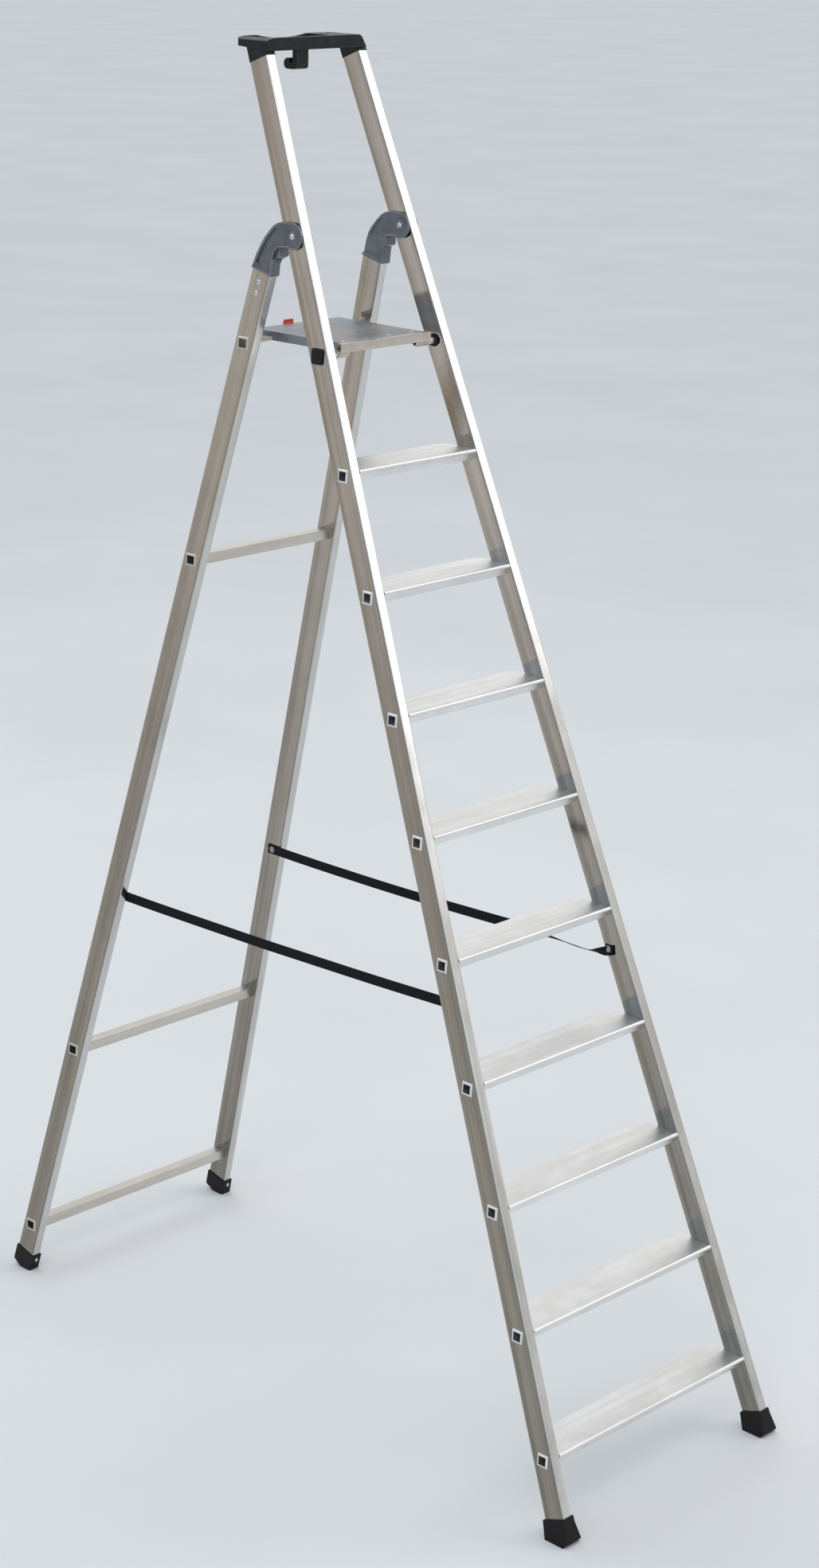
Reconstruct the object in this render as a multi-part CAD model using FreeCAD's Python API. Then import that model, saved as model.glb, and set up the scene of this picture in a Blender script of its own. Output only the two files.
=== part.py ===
import FreeCAD, Part
import math
import os

from FreeCAD import Vector as V

# Aluminium platform stepladder on four feet.
# Frame: millimetres, +Z up, +X to the climber's right, the climbing side faces -Y.
# The origin is on the floor, under the middle of the open ladder.

# ---------------------------------------------------------------- driving dimensions
# front frame: the stiles' outer faces are at x = FW - FK * z, their back faces at
# y = FY + FC * z
FW, FK = 356.0, 0.0664
FY, FC = -880.2, 0.390
F_DEPTH, F_THICK = 58.4, 26.5
F_TOP = 3027.5        # height of the square-cut top on the stile's centre line

# rear frame: outer faces at x = RW - RK * z, back faces at y = RY - RC * z
RW, RK = 340.7, 0.0610
RY, RC = 937.5, 0.265
R_DEPTH, R_THICK = 59.8, 23.2
R_TOP = 2573.0

WALL = 1.3
CORNER = 3.0
BEAD = 4.5            # width of the bead along each front corner of a stile
GROOVE = 1.3          # width and depth of the groove beside the bead

STEP_PITCH = 250.0
STEP_COUNT = 9
STEP_TOP_Z = 2166.0   # height of the highest step's tube
STEP_Z = [STEP_TOP_Z - STEP_PITCH * i for i in range(STEP_COUNT)]
STEP_BACK = 30.0      # tube centre, forward of the stile's back face
STEP_UP = 14.0        # top of the step above the tube centre
STEP_NOSE = 24.6      # nose, forward of the tube centre
STEP_REAR = 77.0      # rear edge, behind the tube centre
STEP_CORNER_X = 46.0  # length of the rounded rear corner along the step
STEP_CORNER_Y = 26.0  # and across it
TUBE_HALF = 12.0      # outside half width of the step's square tube
TUBE_BORE = 10.0      # inside half width
FLARE = 15.0          # half width of the flared end outside the stile
FLARE_T = 2.4

BAR_HEIGHTS = [2411.0, 1900.0, 625.0, 123.0]
BAR_BACK = 27.4
BAR_HALF_Y, BAR_HALF_Z = 14.0, 11.8
BAR_WALL = 2.2
REST_Y, REST_H = 18.0, 13.5   # section of the slim highest bar, which the platform rests on

PIVOT = V(0, 126.5, 2660.0)
FORK_OUT = 187.0      # outer face of the fork's outer cheek
FORK_OUT_IN = 182.6
FORK_IN = 146.4       # inner face of the fork's inner cheek
FORK_IN_OUT = 150.4
FORK_DISC = 29.5
FORK_RIM = 3.2        # width of the raised rim, and the height of the faces below it
FORK_SINK = 1.2
FORK_EYE = 20.0       # radius of the small eye that the plainer cheek is cut down to
FORK_RIVET_Z = [2550.0, 2525.0]
FOLD = 34.0           # degrees from open to folded
BOLT_R = 5.0

DECK_Z = 2435.0
DECK_Y0, DECK_Y1 = 17.0, 299.3
DECK_FRONT_X, DECK_REAR_X = 131.0, 133.0
DECK_SKIRT = 20.0
NOSE_H = 20.0
NOSE_X = 141.0        # half length of the nose strip
AXLE = V(0, 33.3, 2412.0)
AXLE_R = 8.0
AXLE_IN = 106.0       # inner end of each short axle
SLEEVE = 2.2          # wall of the sleeve round each axle
DECK_RIVETS_X = [-108, -36, 36, 108]
DECK_RIVET_Y = DECK_Y0 + 29.2
REST_Z = BAR_HEIGHTS[0] + BAR_HALF_Z   # the platform rests on the highest crossbar
BUSH_R = 15.0

LATCH_X = -19.0
LATCH_W = 25.0
LATCH_PIN = V(0, 307.3, 2429.0)

TRAY_Y0, TRAY_Y1 = 241.3, 340.0
TRAY_X = 155.0        # half length
TRAY_TOP = 3073.0
TRAY_UNDER = 3060.5   # roof of the hollow underside
TRAY_LIP_Z0, TRAY_LIP_Z1 = 3045.3, 3052.8   # lower edge at the front and at the back
TRAY_WELL = (-136.0, 50.0)
TRAY_FIX_Z = 3003.0
TOOL_HOLES = [(72.0, 5.0), (91.0, 6.5), (113.0, 8.0)]   # x, radius
TOOL_SLOTS = [66.0, 84.0, 102.0]
HOOK_X = -42.0
HOOK_HALF = 18.5
HOOK_FIX_Y = TRAY_Y0 + 14.4
HOOK_Z = 3002.5

STRAP_W = 24.0
STRAP_T = 1.6
STRAP_RIVET_R = 3.0
STRAP_REAR = (626.3, 1044.0)     # rivet on the rear stile: y, z
STRAP_FRONT = (-472.7, 1076.0)   # rivet on the front stile

FOOT_WALL = 2.6
FOOT_TOP = 48.0       # height of the foot's rim on the stile's centre line
FOOT_FLARE = (8.0, 12.0)   # growth of a front foot towards the floor, outwards and inwards
FRONT_CHAMFER = (12.0, 15.0)   # y, z of the chamfer on the corner that reaches furthest out
REAR_CHAMFER = (30.0, 18.0)
FOOT_FIX_Z = 27.0
SMALL_R = 2.5         # small rivets in the feet and the tray

CLEAR = 0.05          # radial running clearance

X1, Y1, Z1 = V(1, 0, 0), V(0, 1, 0), V(0, 0, 1)
NODES = {}


# ---------------------------------------------------------------- helpers
def box(x0, x1, y0, y1, z0, z1):
    return Part.makeBox(x1 - x0, y1 - y0, z1 - z0, V(x0, y0, z0))


def cyl(r, length, base, axis):
    return Part.makeCylinder(r, length, base, axis)


def mirror(shape):
    return shape.mirror(V(0, 0, 0), X1)


def both(shape):
    """The shape and its mirror image on the other side."""
    return [shape, mirror(shape)]


def face_from(points):
    pts = [V(*p) for p in points]
    return Part.Face(Part.makePolygon(pts + [pts[0]]))


def fuse_all(shapes):
    out = shapes[0]
    for s in shapes[1:]:
        out = out.fuse(s)
    return out.removeSplitter()


def group(shapes):
    return Part.Compound(shapes)


def add(name, shape):
    NODES[name] = shape


def extrude_x(points_yz, x0, x1):
    """A (y, z) outline made solid between two values of x."""
    return face_from([(x0, y, z) for y, z in points_yz]).extrude(V(x1 - x0, 0, 0))


def arc_points(cy, cz, r, a0, a1, n=12):
    out = []
    for i in range(n + 1):
        a = math.radians(a0 + (a1 - a0) * i / n)
        out.append((cy + r * math.cos(a), cz + r * math.sin(a)))
    return out


def f_out(z):
    return FW - FK * z


def f_in(z):
    return f_out(z) - F_THICK


def f_back(z):
    return FY + FC * z


def r_out(z):
    return RW - RK * z


def r_in(z):
    return r_out(z) - R_THICK


def r_back(z):
    return RY - RC * z


def front_dir(h):
    return V(FK * h, FC * h, h)


def rear_dir(h):
    return V(RK * h, -RC * h, h)


def section(x_out, y_back, thick, depth, grow=0.0, z=0.0):
    """Plain outline of a stile on the left side, from its outer face and back face."""
    x0, x1 = -x_out - grow, -x_out + thick + grow
    y0, y1 = y_back - depth - grow, y_back + grow
    return [(x0, y0, z), (x1, y0, z), (x1, y1, z), (x0, y1, z)]


def prism(x_out, y_back, thick, depth, direction, grow=0.0, z=0.0):
    return face_from(section(x_out, y_back, thick, depth, grow, z)).extrude(direction)


def square_cut(y, z, lean, height):
    """Block above the plane square to a stile at (y, z); a negative height gives the one below."""
    b = box(-500, 500, -200, 200, min(0, height), max(0, height))
    b.rotate(V(0, 0, 0), X1, -math.degrees(math.atan(lean)))
    b.translate(V(0, y, z))
    return b


def f_mid(z):
    return f_back(z) - F_DEPTH / 2


def r_mid(z):
    return r_back(z) - R_DEPTH / 2


def stile_section(x_out, y_back, thick, depth, z):
    """Outline with rounded corners and a groove beside each front corner."""
    x0, x1 = -x_out, -x_out + thick
    y0, y1 = y_back - depth, y_back
    r = CORNER
    pts = []
    corners = [(x0 + r, y0 + r, 180), (x1 - r, y0 + r, 270), (x1 - r, y1 - r, 0), (x0 + r, y1 - r, 90)]
    for i, (cx, cy, a0) in enumerate(corners):
        for k in range(5):
            a = math.radians(a0 + 22.5 * k)
            pts.append((cx + r * math.cos(a), cy + r * math.sin(a), z))
        if i == 1:
            g0, g1 = y0 + BEAD, y0 + BEAD + GROOVE
            pts += [(x1, g0, z), (x1 - GROOVE, g0, z), (x1 - GROOVE, g1, z), (x1, g1, z)]
        if i == 3:
            g0, g1 = y0 + BEAD, y0 + BEAD + GROOVE
            pts += [(x0, g1, z), (x0 + GROOVE, g1, z), (x0 + GROOVE, g0, z), (x0, g0, z)]
    return face_from(pts)


def hollow_stile(x_out, y_back, thick, depth, direction, z):
    outer = stile_section(x_out, y_back, thick, depth, z).extrude(direction)
    core = prism(x_out, y_back, thick, depth, direction, -(WALL + GROOVE), z)
    return outer.cut(core)


# ---------------------------------------------------------------- steps
def step_profile():
    """Closed outline of the step about its tube centre, with the nose over the lip."""
    n, b = -STEP_NOSE, STEP_REAR
    up = STEP_UP
    return (arc_points(n + 4.5, up - 4.5, 4.5, 180, 90, 4)
            + [(b - 1.5, up), (b, up - 1.5), (b, up - 9), (b - 2.6, up - 9), (b - 2.6, up - 2.8)]
            + [(TUBE_HALF, up - 2.8), (TUBE_HALF, -TUBE_HALF)]
            + arc_points(-TUBE_HALF + 2, -TUBE_HALF + 2, 2, 270, 180, 3)
            + [(-TUBE_HALF, 3.4), (-TUBE_HALF + 1.6, 3.4), (-TUBE_HALF + 1.6, 5.4), (n + 2, 5.4), (n, 7)])


def step(z):
    yc = f_back(z) - STEP_BACK
    pts = [(yc + y, z + h) for y, h in step_profile()]
    half = f_in(z + STEP_UP) - 0.4
    plate = extrude_x(pts, -half, half)
    # rounded rear corners, which the folded rear stiles pass
    yr = yc + STEP_REAR
    for side in (-1, 1):
        edge = side * (half + 1)
        pts = [(edge, yr + 1, z - 30), (edge, yr - STEP_CORNER_Y, z - 30)]
        for i in range(1, 9):
            a = math.radians(90.0 * i / 8)
            x = side * half - side * STEP_CORNER_X * (1 - math.cos(a))
            pts.append((x, yr - STEP_CORNER_Y * (1 - math.sin(a)), z - 30))
        pts.append((side * (half - STEP_CORNER_X), yr + 1, z - 30))
        plate = plate.cut(face_from(pts).extrude(V(0, 0, 60)))
    # square tube, through both stiles and flared outside them
    end = f_out(z) + FLARE_T - 0.6
    h = TUBE_HALF
    tube = box(-end, end, yc - h, yc + h, z - h, z + h)
    rims = []
    for side in (-1, 1):
        rims.append(flare(side, f_out(z), FK, yc, z, FLARE, FLARE))
    solid = fuse_all([plate, tube] + rims)
    bore = box(-end - 9, end + 9, yc - TUBE_BORE, yc + TUBE_BORE, z - TUBE_BORE, z + TUBE_BORE)
    return solid.cut(bore)


def flare(side, x_face, slope, yc, z, hy, hz):
    """Flared rim lying on a stile's sloping outer face."""
    wires = []
    for out, shrink in ((0.0, 0.0), (FLARE_T, 2.2)):
        pts = []
        for sy, sz in ((-1, -1), (1, -1), (1, 1), (-1, 1)):
            dz = sz * (hz - shrink)
            pts.append(V(side * (x_face - slope * dz + out), yc + sy * (hy - shrink), z + dz))
        wires.append(Part.makePolygon(pts + [pts[0]]))
    return Part.makeLoft(wires, True, True)


def front_stile():
    s = hollow_stile(f_out(12), f_back(12), F_THICK, F_DEPTH, front_dir(F_TOP + 28), 12)
    s = s.cut(square_cut(f_mid(F_TOP), F_TOP, FC, 90))
    for z in STEP_Z:
        yc = f_back(z) - STEP_BACK
        h = TUBE_HALF + 0.02
        s = s.cut(box(-400, -100, yc - h, yc + h, z - h, z + h))
    s = s.cut(cyl(BOLT_R + 0.02, 80, V(-210, PIVOT.y, PIVOT.z), X1))
    s = s.cut(cyl(BUSH_R, 80, V(-230, AXLE.y, AXLE.z), X1))
    s = s.cut(cyl(STRAP_RIVET_R + 0.02, 60, V(-f_in(STRAP_FRONT[1]) - 8, *STRAP_FRONT), X1))
    s = s.cut(tray_rivet_hole())
    s = s.cut(cyl(SMALL_R + 0.02, 18, foot_fix(FRONT_FIX) - V(0, 12, 0), Y1))
    return s


def rear_stile():
    s = hollow_stile(r_out(12), r_back(12), R_THICK, R_DEPTH, rear_dir(R_TOP + 28), 12)
    s = s.cut(square_cut(r_mid(R_TOP), R_TOP, -RC, 90))
    for z in BAR_HEIGHTS:
        yc = r_back(z) - BAR_BACK
        hy, hz = BAR_HALF_Y + 0.02, BAR_HALF_Z + 0.02
        s = s.cut(box(-400, -100, yc - hy, yc + hy, z - hz, z + hz))
    for z in FORK_RIVET_Z:
        s = s.cut(fork_rivet_hole(z))
    s = s.cut(cyl(STRAP_RIVET_R + 0.02, 60, V(-r_in(STRAP_REAR[1]) - 8, *STRAP_REAR), X1))
    s = s.cut(cyl(SMALL_R + 0.02, 18, foot_fix(REAR_FIX) - V(0, 6, 0), Y1))
    return s


def bar_tube(x0, x1, y0, y1, z0, z1):
    t = BAR_WALL
    return box(x0, x1, y0, y1, z0, z1).cut(box(x0 - 1, x1 + 1, y0 + t, y1 - t, z0 + t, z1 - t))


def crossbar(z):
    """Tube through both rear stiles, flared outside them; the highest is slim between them."""
    yc = r_back(z) - BAR_BACK
    end = r_out(z) + FLARE_T - 0.6
    hy, hz = BAR_HALF_Y, BAR_HALF_Z
    by, bz = hy - BAR_WALL, hz - BAR_WALL
    bore = box(-end - 9, end + 9, yc - by, yc + by, z - bz, z + bz)
    rims = [flare(s, r_out(z), RK, yc, z, hy + 3, hz + 3).cut(bore) for s in (-1, 1)]
    if z < BAR_HEIGHTS[0]:
        return fuse_all([bar_tube(-end, end, yc - hy, yc + hy, z - hz, z + hz)] + rims)
    inner = r_in(z) - 1.0
    slim = box(-inner, inner, yc + hy - REST_Y, yc + hy, z + hz - REST_H, z + hz)
    sockets = both(bar_tube(-end, -inner, yc - hy, yc + hy, z - hz, z + hz))
    plates = both(box(-inner - 3, -inner, yc - hy, yc + hy, z - hz, z + hz))
    return fuse_all([slim] + sockets + plates + rims)


# ---------------------------------------------------------------- feet
# rivet through the face of each foot that looks at the other frame: x, y, side
FRONT_FIX = (-f_out(FOOT_FIX_Z) + F_THICK / 2, f_back(FOOT_FIX_Z) + FOOT_WALL, 1)
REAR_FIX = (-r_out(FOOT_FIX_Z) + R_THICK / 2, r_back(FOOT_FIX_Z) - R_DEPTH - FOOT_WALL, -1)


def foot_fix(fix):
    return V(fix[0], fix[1], FOOT_FIX_Z)


def foot_rivet(fix):
    x, y, side = fix
    shank = cyl(SMALL_R, 8.0, V(x, y - side * 6.0, FOOT_FIX_Z), V(0, side, 0))
    head = dome(4.6, 2.2, V(0, 0, 0), 1)
    head.rotate(V(0, 0, 0), Z1, 90 * side)
    head.translate(V(x, y + side * 2.0, FOOT_FIX_Z))
    return fuse_all([shank, head])


def foot(x_out, y_back, thick, depth, slope, lean, flare_x, chamfer):
    """Foot on the left stile, with a chamfer on its corner furthest from the middle."""
    g = FOOT_WALL
    h = FOOT_TOP
    upper = section(x_out - slope * h, y_back + lean * h, thick, depth, g, h)
    lower = section(x_out, y_back, thick, depth, g)
    grown = [(x - (flare_x[0] if i in (0, 3) else -flare_x[1]), y, z)
             for i, (x, y, z) in enumerate(lower)]
    wires = [Part.makePolygon([V(*p) for p in pts + [pts[0]]]) for pts in (grown, upper)]
    block = Part.makeLoft(wires, True, True)
    block = block.fuse(face_from(upper).extrude(V(slope * 27, lean * 27, 27)))
    block = block.cut(square_cut(y_back - depth / 2 + lean * h, h, lean, 90))
    # pocket for the stile's end
    z0 = 12.0
    pocket = prism(x_out - slope * z0, y_back + lean * z0, thick, depth,
                   V(slope * 90, lean * 90, 90), 0.0, z0)
    block = block.cut(pocket)
    cy, cz = chamfer
    s = 1 if lean < 0 else -1
    ye = y_back + g if s > 0 else y_back - depth - g
    pts = [(ye + s * 20, -1), (ye - s * cy, -1), (ye - s * cy, 0), (ye, cz), (ye + s * 20, cz + 15)]
    block = block.cut(extrude_x(pts, -500, 0))
    fix = REAR_FIX if s > 0 else FRONT_FIX
    return block.cut(cyl(SMALL_R + 0.02, 24, foot_fix(fix) - V(0, 12, 0), Y1))


# ---------------------------------------------------------------- hinge forks
def from_pivot(offsets):
    return [(PIVOT.y + y, PIVOT.z + z) for y, z in offsets]


def fork_outline():
    """Disc on the pivot, and the arm that curves down on to the rear stile's end."""
    back = [(30, 29.3), (44, 26), (57, 19.5), (70.5, 7.5), (87, -10), (99.5, -28.5), (112, -48.5),
            (121.5, -68)]
    heel = (r_back(2581.0), 2581.0)
    toe = (r_back(2581.0) - R_DEPTH, 2581.0 - RC * R_DEPTH)
    front = [(63.2, -63), (60.5, -50), (55.5, -38), (45, -28.4), (32, -26.2), (21, -26.8)]
    return (arc_points(PIVOT.y, PIVOT.z, FORK_DISC, -60, -266, 24) + from_pivot(back)
            + [heel, toe] + from_pivot(front))


def eye_cut(x0, x1):
    """What is taken off a cheek to leave a small eye round the bolt."""
    py, pz = PIVOT.y, PIVOT.z
    cut = box(x0, x1, py - 60, py + 24, pz - 60, pz + 60)
    cut = cut.cut(cyl(FORK_EYE, x1 - x0, V(x0, py, pz), X1))
    return cut.cut(box(x0, x1, py, py + 30, pz - 16, pz + 16))


def fork(eye):
    """Cast fork on the left, with a tongue inside the rear stile.

    The cheek between the two values of x in eye is cut down to an eye; the other is a full disc.
    """
    py, pz = PIVOT.y, PIVOT.z
    arm = extrude_x(fork_outline(), -FORK_OUT, -FORK_IN)
    # web between the cheeks, which stands forward of them under the disc
    web = from_pivot([(66, -75), (61, -58), (44.5, -49), (43.5, -22), (70, -15)])
    arm = arm.fuse(extrude_x(web, -FORK_OUT_IN + 1, -FORK_IN - 2))
    # the inner cheek slopes in to the rear stile's width
    slope = [(-r_in(R_TOP) + 1.0, py - 60, 2500), (-r_in(R_TOP) + 1.0, py - 60, 2592),
             (-FORK_IN + 0.1, py - 60, 2636), (-FORK_IN + 9, py - 60, 2636), (-FORK_IN + 9, py - 60, 2500)]
    arm = arm.cut(face_from(slope).extrude(V(0, 260, 0)))
    # recess inside the rim, and a deeper trough along the back of the arm
    face = face_from([(0, y, z) for y, z in fork_outline()]).makeOffset2D(-FORK_RIM)
    face.translate(V(-FORK_OUT - 1, 0, 0))
    arm = arm.cut(face.extrude(V(1 + FORK_SINK, 0, 0)))
    face.translate(V(FORK_OUT + 1 - FORK_IN - FORK_SINK, 0, 0))
    arm = arm.cut(face.extrude(V(1 + FORK_SINK, 0, 0)))
    trough = from_pivot([(48, 14), (57, 12.5), (67, 3.5), (83, -13), (95, -31), (107.5, -51),
                         (115, -67), (105, -70), (86, -40), (66, -9)])
    arm = arm.cut(extrude_x(trough, -FORK_OUT - 1, -FORK_OUT + 4.5))
    arm = arm.cut(extrude_x(trough, -FORK_IN - 3.0, -FORK_IN + 20))
    # slot swept by the front stile
    for i in range(8):
        band = box(-FORK_OUT_IN, -FORK_IN_OUT, -30.6, 31.2, -140, 140)
        band.rotate(V(0, 0, 0), X1, -math.degrees(math.atan(FC)) + FOLD * i / 7.0)
        band.translate(V(0, py, pz))
        arm = arm.cut(band)
    arm = arm.cut(cyl(FORK_DISC + 3, FORK_OUT_IN - FORK_IN_OUT, V(-FORK_OUT_IN, py, pz), X1))
    arm = arm.cut(eye_cut(*eye))
    # lip round the rear stile's end, and the tongue that the rivets hold
    arm = arm.cut(square_cut(r_mid(R_TOP), R_TOP, -RC, -60))
    lip = prism(r_out(2540), r_back(2540), R_THICK, R_DEPTH, rear_dir(90), 1.3, 2540)
    lip = lip.cut(square_cut(r_mid(R_TOP), R_TOP, -RC, -90))
    lip = lip.cut(square_cut(r_mid(R_TOP + 6), R_TOP + 6, -RC, 90))
    inset = -(WALL + GROOVE + 0.02)
    tongue = prism(r_out(2506), r_back(2506), R_THICK, R_DEPTH, rear_dir(R_TOP + 4 - 2506), inset, 2506)
    for z in FORK_RIVET_Z:
        tongue = tongue.cut(fork_rivet_hole(z))
    arm = fuse_all([arm, lip, tongue])
    # boss under the bolt's head and under the nut
    arm = arm.fuse(cyl(11, FORK_SINK, V(-FORK_OUT, py, pz), X1))
    arm = arm.fuse(cyl(11, FORK_SINK, V(-FORK_IN - FORK_SINK, py, pz), X1))
    arm = arm.cut(cyl(BOLT_R + CLEAR, 90, V(-220, py, pz), X1))
    return arm.removeSplitter()


def dome(r, h, base, out):
    """Shallow domed head on a flat face; out is +1 or -1 along X."""
    big = (r * r + h * h) / (2 * h)
    ball = Part.makeSphere(big, V(base.x + out * (h - big), base.y, base.z))
    side = Part.makeCylinder(r, h, base, V(out, 0, 0))
    return ball.common(side)


def pivot_bolt():
    x0, x1 = -FORK_OUT - 0.3, -FORK_IN + 0.3
    shaft = cyl(BOLT_R, x1 - x0, V(x0, PIVOT.y, PIVOT.z), X1)
    head = dome(7.2, 4.2, V(x0, PIVOT.y, PIVOT.z), -1)
    stub = cyl(3.9, 5.5, V(x1, PIVOT.y, PIVOT.z), X1)
    return fuse_all([shaft, head, stub])


def pivot_nut():
    x1 = -FORK_IN + 0.3
    pts = []
    for i in range(6):
        a = math.radians(60 * i)
        pts.append((x1, PIVOT.y + 8.6 * math.cos(a), PIVOT.z + 8.6 * math.sin(a)))
    nut = face_from(pts).extrude(V(5.0, 0, 0))
    return nut.cut(cyl(3.92, 9, V(x1 - 2, PIVOT.y, PIVOT.z), X1))


def pivot_spacer():
    """Sleeve inside the front stile that stops the bolt from crushing it."""
    x0 = -f_out(PIVOT.z) + WALL + GROOVE + 0.8
    x1 = -f_in(PIVOT.z) - WALL - GROOVE - 0.8
    tube = cyl(8.5, x1 - x0, V(x0, PIVOT.y, PIVOT.z), X1)
    return tube.cut(cyl(BOLT_R + 0.02, 60, V(x0 - 5, PIVOT.y, PIVOT.z), X1))


def fork_rivet_hole(z):
    return cyl(4.02, 17.0, V(-r_out(z) - 2.5, r_mid(z), z), X1)


def fork_rivet(z):
    """Blind rivet through the rear stile's outer wall into the fork's tongue."""
    base = V(-r_out(z) - 0.45, r_mid(z), z)
    return fuse_all([cyl(4.0, 14.0, base, X1), dome(7.0, 3.4, base, -1)])


# ---------------------------------------------------------------- platform
def deck():
    z1, z0 = DECK_Z, DECK_Z - DECK_SKIRT
    t = 2.4
    y0 = DECK_Y0 + 12.0
    outer = [(-DECK_FRONT_X, y0, z0), (DECK_FRONT_X, y0, z0),
             (DECK_REAR_X, DECK_Y1, z0), (-DECK_REAR_X, DECK_Y1, z0)]
    inner = [(-DECK_FRONT_X + t, y0 - 1, z0 - 1), (DECK_FRONT_X - t, y0 - 1, z0 - 1),
             (DECK_REAR_X - t, DECK_Y1 - t, z0 - 1), (-DECK_REAR_X + t, DECK_Y1 - t, z0 - 1)]
    d = face_from(outer).extrude(V(0, 0, z1 - z0))
    d = d.cut(face_from(inner).extrude(V(0, 0, z1 - z0 + 1 - 3.0)))
    ribs = []
    for i in range(5):
        x = -96 + 48 * i
        ribs.append(box(x - 1.2, x + 1.2, DECK_RIVET_Y + 12, DECK_Y1 - t, z1 - 11, z1 - 2.9))
    d = fuse_all([d] + ribs)
    # shallow grip lines on the tread surface
    for i in range(24):
        x = -115 + 10 * i
        d = d.cut(box(x - 0.8, x + 0.8, y0 + 8, DECK_Y1 - 8, z1 - 0.6, z1 + 1))
    # room for the crossbar, at rest and as it comes forward in the fold
    w = max(DECK_FRONT_X, DECK_REAR_X) + 1
    d = d.cut(box(-w, w, DECK_Y1 - 56, DECK_Y1 + 1, z0 - 1, REST_Z))
    for x in DECK_RIVETS_X:
        d = d.cut(cyl(2.52, 30, V(x, DECK_RIVET_Y, z1 - 20), Z1))
        d = d.cut(cyl(4.62, 5, V(x, DECK_RIVET_Y, z1 - 1.2), Z1))
    return d.cut(cyl(AXLE_R + 0.02, 400, V(-200, AXLE.y, AXLE.z), X1))


def deck_nose():
    """Front extrusion: face strip, lip and shelf under the deck, and a sleeve at each end."""
    z1 = DECK_Z
    y0 = DECK_Y0
    z0 = z1 - NOSE_H
    strip = box(-NOSE_X, NOSE_X, y0, y0 + 3.2, z0, z1)
    lip = box(-NOSE_X, NOSE_X, y0, y0 + 9.6, z1 - 3.2, z1)
    shelf = box(-DECK_FRONT_X + 4, DECK_FRONT_X - 4, y0 + 3, DECK_RIVET_Y + 9, z1 - 6.2, z1 - 3.0)
    ends = []
    for side in (-1, 1):
        x0, x1 = sorted((side * (AXLE_IN + 4), side * NOSE_X))
        ends.append(cyl(AXLE_R + SLEEVE, x1 - x0, V(x0, AXLE.y, AXLE.z), X1))
        ends.append(box(x0, x1, AXLE.y - 2, AXLE.y + 2, AXLE.z + 8, z1 - 4))
        ends.append(box(x0, x1, y0, AXLE.y, z0, z0 + 3))
    nose = fuse_all([strip, lip, shelf] + ends)
    # the deck's plate stands on the shelf, and its side skirts pass the sleeves
    for side in (-1, 1):
        x0, x1 = sorted((side * (DECK_FRONT_X - 3.4), side * (DECK_FRONT_X + 1.0)))
        nose = nose.cut(box(x0, x1, y0 + 9.9, AXLE.y + 30, z0 - 19, z1 + 1))
        x0, x1 = sorted((side * (DECK_FRONT_X - 4.0), side * (NOSE_X + 1.0)))
        nose = nose.cut(box(x0, x1, y0 + 9.9, AXLE.y + 30, z1 - 9, z1 + 1))
    nose = nose.cut(cyl(AXLE_R, 2 * NOSE_X + 4, V(-NOSE_X - 2, AXLE.y, AXLE.z), X1))
    for x in DECK_RIVETS_X:
        nose = nose.cut(cyl(2.52, 30, V(x, DECK_RIVET_Y, z1 - 20), Z1))
    return nose


def axle():
    """Short tube from the nose's sleeve on the left into the bush in the stile."""
    end = f_out(AXLE.z) - 7.0
    t = cyl(AXLE_R, end - AXLE_IN, V(-end, AXLE.y, AXLE.z), X1)
    return t.cut(cyl(AXLE_R - 2, end, V(-end - 1, AXLE.y, AXLE.z), X1))


def bushing():
    """Plastic bush through the left stile, with a square cap outside."""
    z, y = AXLE.z, AXLE.y
    xo = -f_out(z)
    xi = -f_in(z)
    barrel = cyl(BUSH_R - 0.02, xi - xo + 5.0, V(xo, y, z), X1)
    flange = cyl(13.2, 8.0, V(xi - 2.0, y, z), X1)
    wires = []
    for out, s in ((0.0, 17.5), (-3.0, 17.5), (-4.5, 15.5)):
        pts = []
        for k in range(4):
            cy = (s - 6) * (1 if k in (0, 3) else -1)
            cz = (s - 6) * (1 if k in (0, 1) else -1)
            for j in range(4):
                a = math.radians(90 * k + 30 * j)
                dy, dz = cy + 6 * math.cos(a), cz + 6 * math.sin(a)
                pts.append(V(xo + FK * dz + out, y + dy, z + dz))
        wires.append(Part.makePolygon(pts + [pts[0]]))
    cap = Part.makeLoft(wires, True, True)
    trim = prism(f_out(z - 40), f_back(z - 40), F_THICK, F_DEPTH, front_dir(80), 0.0, z - 40)
    inside = barrel.common(trim)
    collar = flange.cut(trim)
    out = fuse_all([inside, cap, collar])
    return out.cut(cyl(AXLE_R + CLEAR, 60, V(xo + 6.5, y, z), X1))


def deck_rivet(x):
    z1 = DECK_Z
    shank = cyl(2.5, 5.2, V(x, DECK_RIVET_Y, z1 - 6.2), Z1)
    head = cyl(4.6, 1.2, V(x, DECK_RIVET_Y, z1 - 1.2), Z1)
    tail = cyl(4.2, 1.6, V(x, DECK_RIVET_Y, z1 - 7.8), Z1)
    return fuse_all([shank, head, tail])


def latch_bracket():
    """Two ears behind the deck that carry the latch's pin."""
    ears = []
    for s in (-1, 1):
        x = LATCH_X + s * (LATCH_W / 2 + 2.6)
        ears.append(box(x - 1.6, x + 1.6, DECK_Y1 + 1, LATCH_PIN.y + 6, LATCH_PIN.z - 7, DECK_Z - 0.5))
    w = LATCH_W / 2 + 4.2
    plate = box(LATCH_X - w, LATCH_X + w, DECK_Y1, DECK_Y1 + 2.4, LATCH_PIN.z - 7, DECK_Z - 0.5)
    out = fuse_all(ears + [plate])
    return out.cut(cyl(2.52, 60, V(LATCH_X - 30, LATCH_PIN.y, LATCH_PIN.z), X1))


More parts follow.
